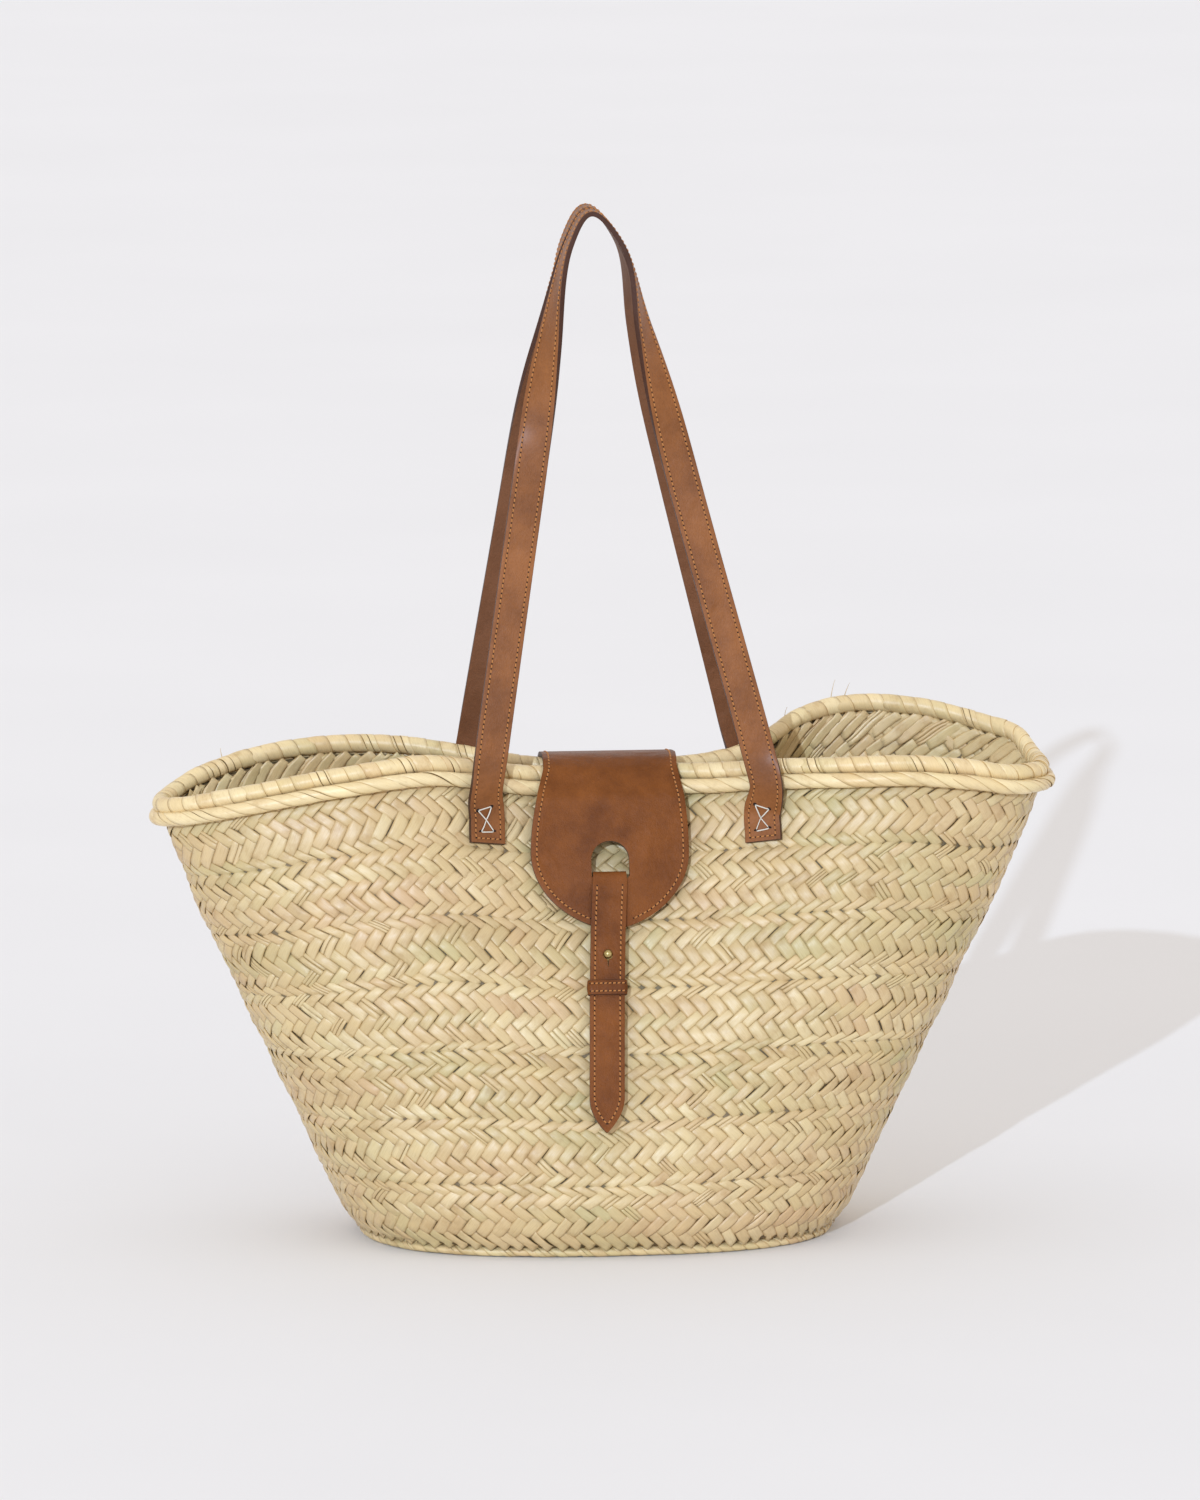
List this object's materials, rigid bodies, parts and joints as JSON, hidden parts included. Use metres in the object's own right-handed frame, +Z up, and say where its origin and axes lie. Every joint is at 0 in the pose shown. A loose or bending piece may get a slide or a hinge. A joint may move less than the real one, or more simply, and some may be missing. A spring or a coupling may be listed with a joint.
{
  "type": "woven market basket",
  "caption": "Boat-shaped palm-leaf market basket with rolled rim, leather flap with strap closure, and two leather shoulder handles.",
  "frame": {"origin": "middle of the base's underside, on the ground", "axes": "+Z up, +X along the basket's length to the right, -Y the front with the flap"},
  "size_m": [0.527, 0.2074, 0.5949],
  "materials": {
    "palm_leaf": "natural dried palm leaf, plaited in a twill braid, satin",
    "palm_braid": "dried palm leaf wound round a core, satin",
    "handle_leather": "vegetable-tanned leather, soft sheen, burnished edges",
    "flap_leather": "vegetable-tanned leather, soft sheen, burnished edges",
    "lining_leather": "leather flesh side, matt",
    "waxed_thread": "waxed thread, matt",
    "stud_brass": "aged brass, satin"
  },
  "bodies": {
    "basket": {"base_mat": "palm_leaf", "foot_ring": "palm_braid", "wall_course_1": "palm_leaf", "wall_course_2": "palm_leaf", "wall_course_3": "palm_leaf", "wall_course_4": "palm_leaf", "wall_course_5": "palm_leaf", "wall_course_6": "palm_leaf", "wall_course_7": "palm_leaf", "upper_rim_roll": "palm_braid", "lower_rim_roll": "palm_braid", "front_handle_end_left": "handle_leather", "front_handle_end_right": "handle_leather", "back_handle_end_left": "handle_leather", "back_handle_end_right": "handle_leather", "front_handle_thread_left": "waxed_thread", "front_handle_thread_right": "waxed_thread", "back_handle_thread_left": "waxed_thread", "back_handle_thread_right": "waxed_thread", "flap_anchor": "flap_leather", "ball_stud": "stud_brass", "stud_washer": "stud_brass"},
    "flap_bridge": {"flap_bridge_outer": "flap_leather", "flap_bridge_lining": "lining_leather"},
    "flap_panel": {"flap_panel_outer": "flap_leather", "flap_panel_lining": "lining_leather", "strap_root": "flap_leather"},
    "closure_strap": {"closure_strap_outer": "flap_leather", "closure_strap_lining": "lining_leather"},
    "keeper": {"strap_keeper": "flap_leather"},
    "front_handle": {"front_handle_outer": "handle_leather", "front_handle_lining": "lining_leather"},
    "back_handle": {"back_handle_outer": "handle_leather", "back_handle_lining": "lining_leather"}
  },
  "joints": [
    {"name": "flap_lift", "type": "hinge", "parent": "basket", "child": "flap_bridge", "pos_m": [0.0015, 0.0335, 0.2779], "axis": [-1, 0, 0], "range_deg": [0, 105]},
    {"name": "flap_fold", "type": "hinge", "parent": "flap_bridge", "child": "flap_panel", "pos_m": [0.0015, -0.0335, 0.2779], "axis": [-1, 0, 0], "range_deg": [0, 120]},
    {"name": "strap_lift", "type": "hinge", "parent": "flap_panel", "child": "closure_strap", "pos_m": [-0.0007, -0.057, 0.2148], "axis": [-1, 0, 0], "range_deg": [0, 90]},
    {"name": "keeper_slide", "type": "slide", "parent": "closure_strap", "child": "keeper", "axis": [-0.0426, -0.33, -0.943], "range_m": [-0.009, 0.04]},
    {"name": "front_handle_fold", "type": "hinge", "parent": "basket", "child": "front_handle", "pos_m": [-0.0716, -0.0486, 0.259], "axis": [0.9975, -0.0708, 0], "range_deg": [0, 115]},
    {"name": "back_handle_fold", "type": "hinge", "parent": "basket", "child": "back_handle", "pos_m": [-0.0716, 0.0486, 0.259], "axis": [-0.9975, -0.0708, 0], "range_deg": [0, 115]}
  ]
}
